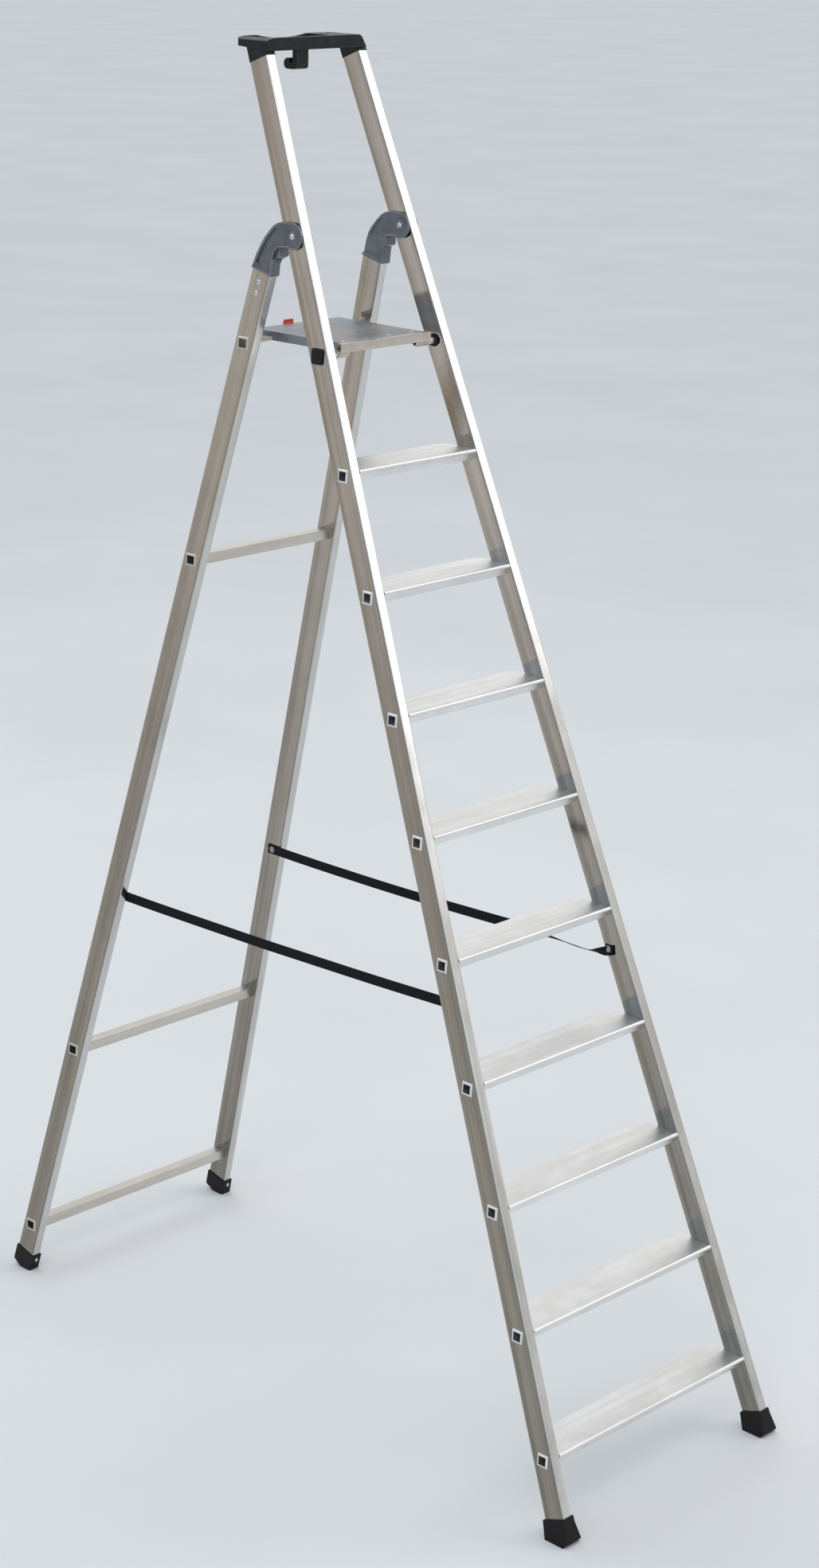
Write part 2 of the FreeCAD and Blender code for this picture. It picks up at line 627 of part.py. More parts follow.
def latch_pin():
    w = LATCH_W / 2 + 5.4
    return cyl(2.5, 2 * w, V(LATCH_X - w, LATCH_PIN.y, LATCH_PIN.z), X1)


def bar_back_y():
    """Back face of the highest crossbar."""
    return r_back(BAR_HEIGHTS[0]) - BAR_BACK + BAR_HALF_Y


def latch():
    """Lever with a thumb tab above the deck and a claw behind the crossbar."""
    y, z = LATCH_PIN.y, LATCH_PIN.z
    yb, zb = bar_back_y() + 0.3, BAR_HEIGHTS[0]
    pts = [(y - 1, z + 14.5), (y + 3, z + 14.5), (y + 5, z + 9), (y + 9, z + 5), (y + 9, zb - 13),
           (y + 1, zb - 15), (yb + 2, zb - 11), (yb, zb - 8), (yb, zb + 2), (y - 6, zb + 5)]
    pts += arc_points(y, z, 5, 225, 150, 6) + [(y - 1.6, z + 10)]
    out = extrude_x(pts, LATCH_X - LATCH_W / 2, LATCH_X + LATCH_W / 2)
    return out.cut(cyl(2.5 + CLEAR, 60, V(LATCH_X - 30, y, z), X1))


# ---------------------------------------------------------------- tray and hook
def rounded_plate(x0, x1, y0, y1, z0, z1, r):
    b = box(x0, x1, y0, y1, z0, z1)
    edges = [e for e in b.Edges if abs(e.tangentAt(e.FirstParameter).z) > 0.99]
    return b.makeFillet(r, edges)


def tray():
    """Moulded tray: legs stand flush on the stiles' ends, with plugs inside the stiles."""
    w, zt = TRAY_X, TRAY_TOP
    y0, y1 = TRAY_Y0, TRAY_Y1
    front = [(-w, 3036), (-w, zt - 6.5), (-w + 5, zt - 3), (-w + 22, zt), (w - 29, zt), (w - 22, zt - 3.5),
             (w, 3036)]
    body = face_from([(x, y0, z) for x, z in front]).extrude(V(0, y1 - y0, 0))
    skirt = [(y0 - 1, 3030), (y1 + 1, 3030), (y1 + 1, TRAY_LIP_Z1), (y0 - 1, TRAY_LIP_Z0)]
    body = body.cut(extrude_x(skirt, -w - 1, w + 1))
    # rounded corners at the back, the right one larger
    for side, r in ((-1, 8.0), (1, 24.0)):
        corner = box(*sorted((side * (w - r), side * (w + 1))), y1 - r, y1 + 1, 3030, zt + 1)
        corner = corner.cut(cyl(r, 90, V(side * (w - r), y1 - r, 3020), Z1))
        body = body.cut(corner)
    body = body.cut(box(-w + 29, w - 29, y0 + 3.2, y1 - 3.2, 3030, TRAY_UNDER))
    # recessed tray on the left, and a dip in the lip behind it for resting a pipe
    body = body.cut(rounded_plate(TRAY_WELL[0], TRAY_WELL[1], y0 + 13, y1 - 8, zt - 7.5, zt + 5, 7))
    body = body.cut(cyl(375, 30, V(-23, y1 - 12, zt - 8 + 375), Y1))
    # holes and slots for tools on the right
    for x, r in TOOL_HOLES:
        body = body.cut(cyl(r, 60, V(x, y1 - 34, zt - 30), Z1))
    for x in TOOL_SLOTS:
        body = body.cut(rounded_plate(x, x + 13, y0 + 16, y0 + 23, zt - 30, zt + 5, 3))
    z0 = 2990.0
    leg = prism(f_out(z0), f_back(z0), F_THICK, F_DEPTH, front_dir(3056 - z0), 0.0, z0)
    leg = leg.cut(square_cut(f_mid(F_TOP), F_TOP, FC, -90))
    z0 = 2982.0
    inset = -(WALL + GROOVE + 0.02)
    plug = prism(f_out(z0), f_back(z0), F_THICK, F_DEPTH, front_dir(F_TOP + 6 - z0), inset, z0)
    plug = plug.cut(tray_rivet_hole())
    body = fuse_all([body] + both(leg) + both(plug))
    body = body.cut(cyl(4.7, 12, V(HOOK_X, HOOK_FIX_Y, TRAY_UNDER + 2.6), Z1))
    return body.cut(cyl(SMALL_R + 0.02, 30, V(HOOK_X, HOOK_FIX_Y, TRAY_UNDER - 20), Z1))


def tray_rivet_hole():
    n = V(0, 1, -FC).normalize()
    return cyl(SMALL_R + 0.02, 24, tray_fix() - n * 12, n)


def tray_fix():
    """Point on the left stile's back face where the tray's plug is riveted."""
    return V(-f_out(TRAY_FIX_Z) + F_THICK / 2, f_back(TRAY_FIX_Z), TRAY_FIX_Z)


def tray_rivet():
    n = V(0, 1, -FC).normalize()
    head = dome(5.0, 2.0, V(0, 0, 0), 1)
    head.rotate(V(0, 0, 0), Z1, 90)
    head.rotate(V(0, 0, 0), X1, -math.degrees(math.atan(FC)))
    head.translate(tray_fix())
    return fuse_all([cyl(SMALL_R, 10.0, tray_fix() - n * 10, n), head])


def hook_screw():
    """Countersunk screw from inside the tray down into the hook."""
    shank = cyl(SMALL_R, 24, V(HOOK_X, HOOK_FIX_Y, TRAY_UNDER - 20), Z1)
    head = cyl(4.6, 2.2, V(HOOK_X, HOOK_FIX_Y, TRAY_UNDER + 2.7), Z1)
    return fuse_all([shank, head])


def bucket_hook():
    x0, x1 = HOOK_X - HOOK_HALF, HOOK_X + HOOK_HALF
    y0, y1, y2 = TRAY_Y0 + 8.4, TRAY_Y0 + 20.4, TRAY_Y0 + 48.0
    z0 = HOOK_Z
    pts = ([(y0, TRAY_UNDER), (y1, TRAY_UNDER), (y1, z0 + 28)]
           + arc_points(y1 + 6, z0 + 19, 6, 180, 300, 8)
           + arc_points(y2 - 12, z0 + 12, 12, 120, -90, 12)
           + arc_points(y0 + 9, z0 + 9, 9, 270, 180, 6))
    hook = extrude_x(pts, x0, x1)
    return hook.cut(cyl(SMALL_R + 0.02, 30, V(HOOK_X, HOOK_FIX_Y, TRAY_UNDER - 20.2), Z1))


# ---------------------------------------------------------------- straps
def strap(side):
    """Flat webbing just inside the stiles, with a little sag and a lap at each end."""
    (ya, za), (yb, zb) = STRAP_REAR, STRAP_FRONT
    xa = r_in(za) - 1.6
    xb = f_in(zb) - 1.6
    n = 12
    pts = []
    sag = 6.0 if side < 0 else 11.0
    for i in range(n + 1):
        t = i / n
        y = ya + 16 + (yb - 16 - ya - 16) * t
        z = za + (zb - za) * t - 4 * sag * t * (1 - t)
        x = xa + (xb - xa) * t
        pts.append((side * x, y, z))
    h = STRAP_W / 2
    wires = []
    for x, y, z in pts:
        xi = x - side * STRAP_T
        row = [V(x, y, z - h), V(x, y, z + h), V(xi, y, z + h), V(xi, y, z - h)]
        wires.append(Part.makePolygon(row + [row[0]]))
    out = Part.makeLoft(wires, True, True)
    for y, z in (STRAP_REAR, STRAP_FRONT):
        out = out.cut(cyl(STRAP_RIVET_R + 0.02, 100, V(side * 210, y, z), V(side, 0, 0)))
    return out


def strap_rivet(x_wall, y, z):
    """Rivet from inside the left stile's wall to its head inside the strap."""
    x0 = -x_wall - 5.0
    x1 = -x_wall + 1.6 + STRAP_T + 1.4
    shank = cyl(STRAP_RIVET_R, x1 - x0, V(x0, y, z), X1)
    return fuse_all([shank, dome(6.0, 2.6, V(x1, y, z), 1)])


def strap_washer(x_wall, y, z):
    x0 = -x_wall + 1.6 + STRAP_T
    ring = cyl(8.0, 1.2, V(x0 + 0.1, y, z), X1)
    return ring.cut(cyl(STRAP_RIVET_R + 0.02, 5, V(x0 - 1, y, z), X1))


# ---------------------------------------------------------------- build
left = front_stile()
add("front_stile_left", left)
add("front_stile_right", mirror(left))
left = rear_stile()
add("rear_stile_left", left)
add("rear_stile_right", mirror(left))
for i, z in enumerate(STEP_Z):
    add("tread_%d" % (STEP_COUNT - i), step(z))
for i, z in enumerate(BAR_HEIGHTS):
    add("crossbar_%d" % (4 - i), crossbar(z))

left = foot(FW, FY, F_THICK, F_DEPTH, FK, FC, FOOT_FLARE, FRONT_CHAMFER)
add("front_foot_left", left)
add("front_foot_right", mirror(left))
left = foot(RW, RY, R_THICK, R_DEPTH, RK, -RC, (0, 0), REAR_CHAMFER)
add("rear_foot_left", left)
add("rear_foot_right", mirror(left))
add("foot_rivets_front", group(both(foot_rivet(FRONT_FIX))))
add("foot_rivets_rear", group(both(foot_rivet(REAR_FIX))))

# the full cheeks and the bolts' heads all face -X
across = V(FORK_OUT + FORK_IN, 0, 0)
add("hinge_fork_left", fork((-FORK_IN_OUT, -FORK_IN + 1)))
add("hinge_fork_right", mirror(fork((-FORK_OUT - 1, -FORK_OUT_IN))))
add("pivot_bolts", group([pivot_bolt(), pivot_bolt().translated(across)]))
add("pivot_nuts", group([pivot_nut(), pivot_nut().translated(across)]))
add("pivot_spacers", group(both(pivot_spacer())))
rivets = []
for z in FORK_RIVET_Z:
    rivets += both(fork_rivet(z))
add("hinge_rivets", group(rivets))

add("platform_deck", deck())
add("platform_nose", deck_nose())
add("platform_axles", group(both(axle())))
add("platform_rivets", group([deck_rivet(x) for x in DECK_RIVETS_X]))
left = bushing()
add("platform_bushing_left", left)
add("platform_bushing_right", mirror(left))
add("latch_bracket", latch_bracket())
add("latch_pin", latch_pin())
add("latch", latch())

add("tool_tray", tray())
add("bucket_hook", bucket_hook())
add("hook_screw", hook_screw())
add("tray_rivets", group(both(tray_rivet())))

add("strap_left", strap(-1))
add("strap_right", strap(1))
yz = STRAP_FRONT
add("strap_rivets_front", group(both(strap_rivet(f_in(yz[1]), *yz))))
add("strap_washers_front", group(both(strap_washer(f_in(yz[1]), *yz))))
yz = STRAP_REAR
add("strap_rivets_rear", group(both(strap_rivet(r_in(yz[1]), *yz))))
add("strap_washers_rear", group(both(strap_washer(r_in(yz[1]), *yz))))

os.makedirs("parts", exist_ok=True)
for name, shape in NODES.items():
    if not shape.isValid():
        print("not valid:", name)
    shape.exportStep("parts/%s.step" % name)
    bb = shape.BoundBox
    print("%-24s solids %d  vol %9.1f cm3  x %7.1f %7.1f  y %7.1f %7.1f  z %7.1f %7.1f" % (
        name, len(shape.Solids), shape.Volume / 1000, bb.XMin, bb.XMax, bb.YMin, bb.YMax, bb.ZMin, bb.ZMax))
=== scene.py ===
import math

import bmesh
import bpy
from mathutils import Matrix, Vector


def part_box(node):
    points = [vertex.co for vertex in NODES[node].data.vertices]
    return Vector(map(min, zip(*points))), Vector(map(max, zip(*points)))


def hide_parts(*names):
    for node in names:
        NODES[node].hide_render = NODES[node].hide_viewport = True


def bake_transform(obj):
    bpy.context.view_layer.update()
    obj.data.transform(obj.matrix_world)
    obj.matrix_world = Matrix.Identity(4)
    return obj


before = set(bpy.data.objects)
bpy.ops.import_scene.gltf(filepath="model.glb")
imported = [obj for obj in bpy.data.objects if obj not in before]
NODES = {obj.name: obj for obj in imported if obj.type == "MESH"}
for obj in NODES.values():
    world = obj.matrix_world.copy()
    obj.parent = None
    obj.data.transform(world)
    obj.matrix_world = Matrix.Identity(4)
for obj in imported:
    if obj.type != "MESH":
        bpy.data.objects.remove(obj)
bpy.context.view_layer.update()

# how far the stiles' outer faces and back faces move in per metre of height, as in the CAD model
FRONT_SPREAD, FRONT_LEAN = 0.0664, -0.390
REAR_SPREAD, REAR_LEAN = 0.0610, 0.265

# check straps, in metres
STRAP_THICK = 0.0016
STRAP_WIDTH = 0.0238
STRAP_SAG = {-1: 0.006, 1: 0.011}       # by side: left, right
STRAP_STEPS = 144
# the right strap's turn towards edge-on: its angle, and where along the strap it begins and ends
TURN_ANGLE = math.radians(66)
TURN_FROM, TURN_OVER = 0.72, 0.2
TURN_BACK_FROM, TURN_BACK_OVER = 0.955, 0.03
# the dip before the right strap's front rivet
DIP_DEPTH = 0.009
DIP_FROM, DIP_OVER = 0.80, 0.20
# weave: twill lines per metre, their slant and the threads across the strap
TWILL_LINES, TWILL_SLANT, WARP_THREADS = 900.0, 46.0, 88.0

# floor, a hair below the feet
FLOOR_SIZE = 400.0
FLOOR_Z = -0.0005

# camera: place, angles in degrees, lens in mm on a 36 mm high sensor
CAMERA_PLACE = (-4.8669, -4.7143, 3.5077)
CAMERA_YAW, CAMERA_PITCH, CAMERA_ROLL = -46.32, 15.567, 1.227
CAMERA_LENS = 71.23
CAMERA_SHIFT = (0.0019, -0.0557)


# ---------------------------------------------------------------- node helpers
class Nodes:
    """A small builder for one material's node tree."""

    def __init__(self, name):
        self.mat = bpy.data.materials.new(name)
        self.mat.use_nodes = True
        self.tree = self.mat.node_tree
        self.tree.nodes.clear()
        self.out = self.new("ShaderNodeOutputMaterial")
        self.bsdf = self.new("ShaderNodeBsdfPrincipled")
        self.link(self.bsdf.outputs[0], self.out.inputs["Surface"])

    def new(self, kind, **props):
        node = self.tree.nodes.new(kind)
        for key, value in props.items():
            setattr(node, key, value)
        return node

    def link(self, a, b):
        self.tree.links.new(a, b)

    def put(self, socket, value):
        if hasattr(value, "is_output"):
            self.link(value, socket)
        else:
            socket.default_value = value

    def coords(self, scale=(1, 1, 1)):
        tex = self.new("ShaderNodeTexCoord")
        mapping = self.new("ShaderNodeMapping")
        mapping.inputs["Scale"].default_value = scale
        self.link(tex.outputs["Object"], mapping.inputs["Vector"])
        return mapping.outputs["Vector"]

    def along(self, slope_x, slope_y, squeeze):
        """Coordinates that follow a leaning, spreading stile, shifted apart for the two sides."""
        split = self.new("ShaderNodeSeparateXYZ")
        self.link(self.coords(), split.inputs[0])
        x, y, z = split.outputs
        join = self.new("ShaderNodeCombineXYZ")
        side = self.math("ADD", self.math("ABSOLUTE", x), self.math("MULTIPLY", z, slope_x))
        apart = self.math("MULTIPLY", self.math("SIGN", x), 3.0)
        self.put(join.inputs[0], self.math("ADD", side, apart))
        self.put(join.inputs[1], self.math("ADD", y, self.math("MULTIPLY", z, slope_y)))
        self.put(join.inputs[2], self.math("MULTIPLY", z, squeeze))
        return join.outputs[0]

    def noise(self, scale, detail=4.0, stretch=(1, 1, 1), rough=0.55, vector=None):
        node = self.new("ShaderNodeTexNoise")
        node.inputs["Scale"].default_value = scale
        node.inputs["Detail"].default_value = detail
        node.inputs["Roughness"].default_value = rough
        self.link(vector or self.coords(stretch), node.inputs["Vector"])
        return node.outputs["Fac"]

    def wave(self, scale, direction):
        node = self.new("ShaderNodeTexWave", bands_direction=direction)
        node.inputs["Scale"].default_value = scale
        self.link(self.coords(), node.inputs["Vector"])
        return node.outputs["Fac"]

    def ramp(self, value, stops):
        node = self.new("ShaderNodeValToRGB")
        el = node.color_ramp.elements
        while len(el) < len(stops):
            el.new(0.5)
        for item, (pos, color) in zip(el, stops):
            item.position = pos
            item.color = (*color, 1.0)
        self.put(node.inputs["Fac"], value)
        return node.outputs["Color"]

    def mix(self, fac, a, b, blend="MIX"):
        node = self.new("ShaderNodeMix", data_type="RGBA", blend_type=blend)
        self.put(node.inputs[0], fac)
        self.put(node.inputs[6], a if hasattr(a, "is_output") else (*a, 1.0))
        self.put(node.inputs[7], b if hasattr(b, "is_output") else (*b, 1.0))
        return node.outputs[2]

    def math(self, op, a, b=0.0):
        node = self.new("ShaderNodeMath", operation=op)
        self.put(node.inputs[0], a)
        self.put(node.inputs[1], b)
        return node.outputs[0]

    def swing(self, angle):
        """A sine wave that runs from 0 to 1."""
        return self.math("MULTIPLY", self.math("ADD", self.math("SINE", angle), 1.0), 0.5)

    def remap(self, value, lo, hi, to_lo, to_hi):
        node = self.new("ShaderNodeMapRange")
        self.put(node.inputs[0], value)
        for i, v in enumerate((lo, hi, to_lo, to_hi)):
            node.inputs[i + 1].default_value = v
        return node.outputs[0]

    def height(self, low, high):
        """From 0 at one height to 1 at another."""
        split = self.new("ShaderNodeSeparateXYZ")
        self.link(self.coords(), split.inputs[0])
        return self.remap(split.outputs[2], low, high, 0.0, 1.0)

    def axis_part(self, axis):
        """How much the surface faces along one axis of the object, from 0 to 1."""
        geo = self.new("ShaderNodeNewGeometry")
        split = self.new("ShaderNodeSeparateXYZ")
        self.link(geo.outputs["True Normal"], split.inputs[0])
        return self.math("ABSOLUTE", split.outputs[axis])

    def inward(self):
        """1 where a surface faces the ladder's middle plane, otherwise 0."""
        geo = self.new("ShaderNodeNewGeometry")
        facing = self.new("ShaderNodeSeparateXYZ")
        self.link(geo.outputs["True Normal"], facing.inputs[0])
        place = self.new("ShaderNodeSeparateXYZ")
        self.link(self.coords(), place.inputs[0])
        product = self.math("MULTIPLY", facing.outputs[0], self.math("SIGN", place.outputs[0]))
        return self.math("LESS_THAN", product, -0.6)

    def edges(self, radius):
        """1 on rounded-over edges, falling to 0 on the flats."""
        geo = self.new("ShaderNodeNewGeometry")
        bevel = self.new("ShaderNodeBevel", samples=6)
        bevel.inputs["Radius"].default_value = radius
        dot = self.new("ShaderNodeVectorMath", operation="DOT_PRODUCT")
        self.link(geo.outputs["True Normal"], dot.inputs[0])
        self.link(bevel.outputs[0], dot.inputs[1])
        return self.remap(dot.outputs["Value"], 0.86, 0.995, 1.0, 0.0)

    def hollows(self, distance):
        """1 in the open, falling to 0 in recesses."""
        node = self.new("ShaderNodeAmbientOcclusion", samples=6)
        node.inputs["Distance"].default_value = distance
        return node.outputs["AO"]

    def bump(self, height, strength, distance=0.001, soft=0.0):
        node = self.new("ShaderNodeBump")
        node.inputs["Strength"].default_value = strength
        node.inputs["Distance"].default_value = distance
        self.put(node.inputs["Height"], height)
        if soft:
            edge = self.new("ShaderNodeBevel", samples=4)
            edge.inputs["Radius"].default_value = soft
            self.link(edge.outputs[0], node.inputs["Normal"])
        self.link(node.outputs[0], self.bsdf.inputs["Normal"])

    def set(self, **values):
        for key, value in values.items():
            self.put(self.bsdf.inputs[key.replace("_", " ")], value)


# ---------------------------------------------------------------- materials
def stile_metal(name, slope_x, slope_y, front_highlight_level):
    """Mill-finished extrusion: bright front faces as a painted highlight scaled by
    front_highlight_level, streaked sides with painted warm shade.
    """
    m = Nodes(name)
    streak = m.noise(42, 4, rough=0.6, vector=m.along(slope_x, slope_y, 0.014))
    fine = m.noise(380, 3, rough=0.6, vector=m.along(slope_x, slope_y, 0.006))
    blotch = m.noise(9, 7, (1, 1, 0.6), 0.66)
    # painted light: side faces get a darker, warmer colour over their real streaks, front faces a
    # bright painted highlight
    side = m.remap(m.axis_part(0), 0.55, 0.85, 0.0, 1.0)
    side_streaks_and_shade = m.ramp(streak, [(0.32, (0.46, 0.385, 0.310)), (0.50, (0.60, 0.515, 0.430)),
                           (0.68, (0.71, 0.625, 0.535))])
    # painted shade: the stile colour darkens towards the bottom and is brightest near the top
    painted_height_shade = m.ramp(m.height(0.2, 2.7), [(0.0, (0.58, 0.62, 0.61)), (0.5, (0.70, 0.71, 0.70)),
                                      (0.85, (1.0, 0.98, 0.95))])
    side_streaks_and_shade = m.mix(1.0, side_streaks_and_shade, painted_height_shade, "MULTIPLY")
    inner = m.inward()
    # painted reflection: inward faces are tinted bluish
    inner_blue_reflection = m.math("MULTIPLY", inner, 0.25)
    side_streaks_and_shade = m.mix(inner_blue_reflection, side_streaks_and_shade, m.mix(1.0, side_streaks_and_shade, (0.95, 1.06, 1.18), "MULTIPLY"))
    # painted highlight: the bright front-face colour, scaled per material
    bright = m.ramp(streak, [(0.32, (0.80 * front_highlight_level, 0.795 * front_highlight_level, 0.775 * front_highlight_level)),
                             (0.68, (0.93 * front_highlight_level, 0.93 * front_highlight_level, 0.92 * front_highlight_level))])
    base = m.mix(side, bright, side_streaks_and_shade)
    dull = m.ramp(blotch, [(0.38, (0.80, 0.79, 0.77)), (0.62, (1, 1, 1))])
    base = m.mix(0.5, base, dull, "MULTIPLY")
    lines = m.ramp(fine, [(0.3, (0.68, 0.68, 0.69)), (0.7, (1.04, 1.03, 1.02))])
    base = m.mix(0.55, base, lines, "MULTIPLY")
    rough = m.remap(blotch, 0.3, 0.7, 0.13, 0.27)
    rough = m.math("MULTIPLY", rough, m.remap(inner, 0.0, 1.0, 1.0, 0.45))
    m.set(Base_Color=base, Metallic=1.0, Roughness=rough)
    m.bump(fine, 0.12, 0.0005, 0.0006)
    return m.mat


def step_metal(name, tint=(1.0, 1.0, 1.0)):
    """Steps and crossbars: pale satin metal with fine ribs along their length."""
    m = Nodes(name)
    ribs = m.wave(95, "Y")
    streak = m.noise(55, 3, (0.03, 1.0, 1.0), 0.6)
    wear = m.noise(14, 7, (0.6, 1, 1), 0.65)
    tone = m.ramp(streak, [(0.3, (0.84, 0.84, 0.83)), (0.7, (0.95, 0.95, 0.945))])
    tone = m.mix(1.0, tone, tint, "MULTIPLY")
    dull = m.ramp(wear, [(0.38, (0.80, 0.79, 0.77)), (0.60, (1, 1, 1))])
    tone = m.mix(0.5, tone, dull, "MULTIPLY")
    grain = m.ramp(ribs, [(0.0, (0.86, 0.86, 0.86)), (0.5, (1, 1, 1))])
    top = m.remap(m.axis_part(2), 0.6, 0.9, 0.0, 0.6)
    tone = m.mix(top, tone, m.mix(1.0, tone, grain, "MULTIPLY"))
    m.set(Base_Color=tone, Metallic=1.0, Roughness=m.remap(wear, 0.3, 0.7, 0.30, 0.46))
    ribs_up = m.math("MULTIPLY", ribs, m.axis_part(2))
    m.bump(m.math("ADD", ribs_up, m.math("MULTIPLY", streak, 0.3)), 0.22, 0.0008, 0.0007)
    return m.mat


def deck_metal(name):
    """Scuffed platform: darker, bluish grey with patches of wear."""
    m = Nodes(name)
    scuff = m.noise(24, 8, (1, 1, 1), 0.7)
    brush = m.noise(60, 3, (1.0, 0.05, 1.0), 0.6)
    tone = m.ramp(scuff, [(0.36, (0.29, 0.27, 0.25)), (0.50, (0.37, 0.345, 0.32)),
                          (0.68, (0.44, 0.415, 0.39))])
    cool = m.ramp(m.noise(11, 6, (1, 1, 1), 0.65), [(0.40, (1, 1, 1)), (0.56, (0.78, 0.93, 1.14))])
    tone = m.mix(0.9, tone, cool, "MULTIPLY")
    tone = m.mix(0.5, tone, m.ramp(brush, [(0.3, (0.8, 0.8, 0.8)), (0.7, (1, 1, 1))]), "MULTIPLY")
    m.set(Base_Color=tone, Metallic=1.0, Roughness=m.remap(scuff, 0.3, 0.7, 0.34, 0.55))
    m.bump(scuff, 0.18, 0.0008, 0.0006)
    return m.mat


def nose_metal(name):
    """Warm satin strip along the platform's front."""
    m = Nodes(name)
    streak = m.noise(70, 4, (0.03, 1.0, 1.0), 0.6)
    wear = m.noise(40, 6, (1, 1, 1), 0.65)
    tone = m.ramp(streak, [(0.3, (0.58, 0.53, 0.47)), (0.7, (0.70, 0.65, 0.58))])
    dull = m.ramp(wear, [(0.38, (0.80, 0.79, 0.78)), (0.62, (1, 1, 1))])
    tone = m.mix(0.5, tone, dull, "MULTIPLY")
    m.set(Base_Color=tone, Metallic=1.0, Roughness=m.remap(wear, 0.3, 0.7, 0.34, 0.48))
    m.bump(streak, 0.15, 0.0006, 0.0006)
    return m.mat


def cast_metal(name):
    """Grey lacquered die-casting with a faint orange-peel skin."""
    m = Nodes(name)
    skin = m.noise(420, 3)
    cloud = m.noise(26, 5)
    tone = m.ramp(cloud, [(0.3, (0.120, 0.130, 0.142)), (0.7, (0.190, 0.204, 0.220))])
    # painted shade: recesses found by ambient occlusion are darkened to near-black brown
    tone = m.mix(m.remap(m.hollows(0.012), 0.45, 0.90, 0.95, 0.0), tone, (0.022, 0.017, 0.014))
    # painted highlight together with edge wear: rounded edges and rims are lightened
    rim_highlight_and_wear = m.edges(0.0022)
    tone = m.mix(m.math("MULTIPLY", rim_highlight_and_wear, 0.55), tone, (0.62, 0.63, 0.64))
    rough = m.remap(cloud, 0.3, 0.7, 0.22, 0.34)
    m.set(Base_Color=tone, Metallic=0.75, Roughness=rough)
    m.bump(skin, 0.14, 0.0005, 0.0022)
    return m.mat


def plain_steel(name, shade=1.0):
    m = Nodes(name)
    grain = m.noise(160, 4)
    tone = m.ramp(grain, [(0.3, (0.50 * shade, 0.51 * shade, 0.53 * shade)),
                          (0.7, (0.70 * shade, 0.71 * shade, 0.73 * shade))])
    m.set(Base_Color=tone, Metallic=1.0, Roughness=m.remap(grain, 0.3, 0.7, 0.18, 0.32))
    m.bump(grain, 0.08, 0.0004, 0.0004)
    return m.mat


def black_plastic(name, base, rough, grain_scale=900):
    m = Nodes(name)
    grain = m.noise(grain_scale, 3)
    dust = m.noise(34, 6, (1, 1, 1), 0.65)
    pale = tuple(c * 2.2 + 0.002 for c in base)
    m.set(Base_Color=m.ramp(dust, [(0.42, base), (0.75, pale)]), Specular_IOR_Level=0.25,
          Roughness=m.remap(dust, 0.35, 0.7, rough, rough + 0.18))
    m.bump(grain, 0.18, 0.0005, 0.0012)
    return m.mat


def red_plastic(name):
    m = Nodes(name)
    grain = m.noise(300, 3)
    tone = m.ramp(grain, [(0.3, (0.62, 0.016, 0.010)), (0.7, (0.78, 0.030, 0.018))])
    m.set(Base_Color=tone, Roughness=0.34)
    m.bump(grain, 0.05, 0.0004, 0.0006)
    return m.mat


def webbing(name):
    """Flat black polyester webbing: chevron weave across a 24 mm strap, with selvedges."""
    m = Nodes(name)
    uv = m.new("ShaderNodeUVMap")
    split = m.new("ShaderNodeSeparateXYZ")
    m.link(uv.outputs[0], split.inputs[0])
    along, across = split.outputs[0], split.outputs[1]
    rib = m.math("ABSOLUTE", m.math("SUBTRACT", across, 0.5))
    lines = m.math("MULTIPLY", along, TWILL_LINES)
    slant = m.math("ADD", lines, m.math("MULTIPLY", rib, TWILL_SLANT))
    twill = m.swing(m.math("MULTIPLY", slant, 3.1416))
    warp = m.swing(m.math("MULTIPLY", across, WARP_THREADS))
    weave = m.math("MULTIPLY", twill, m.math("ADD", m.math("MULTIPLY", warp, 0.6), 0.4))
    fuzz = m.noise(1500, 3)
    tone = m.ramp(weave, [(0.1, (0.0015, 0.0015, 0.002)), (0.9, (0.010, 0.010, 0.013))])
    tone = m.mix(m.remap(fuzz, 0.4, 0.8, 0.0, 0.3), tone, (0.022, 0.022, 0.025))
    m.set(Base_Color=tone, Roughness=0.8, Sheen_Weight=0.04, Sheen_Roughness=0.5,
          Specular_IOR_Level=0.15)
    m.bump(m.math("ADD", weave, m.math("MULTIPLY", fuzz, 0.25)), 0.6, 0.0007)
    return m.mat


MATS = {
    "front_stile": stile_metal("front_stile_aluminium", FRONT_SPREAD, FRONT_LEAN, 1.0),
    "rear_stile": stile_metal("rear_stile_aluminium", REAR_SPREAD, REAR_LEAN, 0.82),
    "step": step_metal("step_aluminium"),
    "bar": step_metal("crossbar_aluminium", (0.74, 0.70, 0.64)),
    "deck": deck_metal("deck_aluminium"),
    "nose": nose_metal("nose_aluminium"),
    "cast": cast_metal("hinge_casting"),
    "steel": plain_steel("zinc_steel"),
    "dull": plain_steel("dull_steel", 0.55),
    "tray": black_plastic("tray_plastic", (0.0095, 0.0100, 0.0105), 0.34),
    "bush": black_plastic("bushing_plastic", (0.004, 0.004, 0.006), 0.32),
    "foot": black_plastic("foot_rubber", (0.0055, 0.0038, 0.0040), 0.46, 500),
    "red": red_plastic("latch_plastic"),
    "webbing": webbing("check_strap_webbing"),
}


def material_for(node):
    rules = (("front_stile", "front_stile"), ("rear_stile", "rear_stile"), ("tread_", "step"),
             ("crossbar_", "bar"), ("platform_deck", "deck"), ("platform_nose", "nose"),
             ("platform_axles", "step"), ("latch_bracket", "step"), ("hinge_fork", "cast"),
             ("platform_bushing", "bush"), ("tool_tray", "tray"), ("bucket_hook", "tray"),
             ("front_foot", "foot"), ("rear_foot", "foot"), ("strap_", "dull"))
    for start, key in rules:
        if node.startswith(start):
            return MATS[key]
    return MATS["red"] if node == "latch" else MATS["steel"]


for node, obj in NODES.items():
    mat = material_for(node)
    if obj.data.materials:
        for i in range(len(obj.data.materials)):
            obj.data.materials[i] = mat
    else:
        obj.data.materials.append(mat)


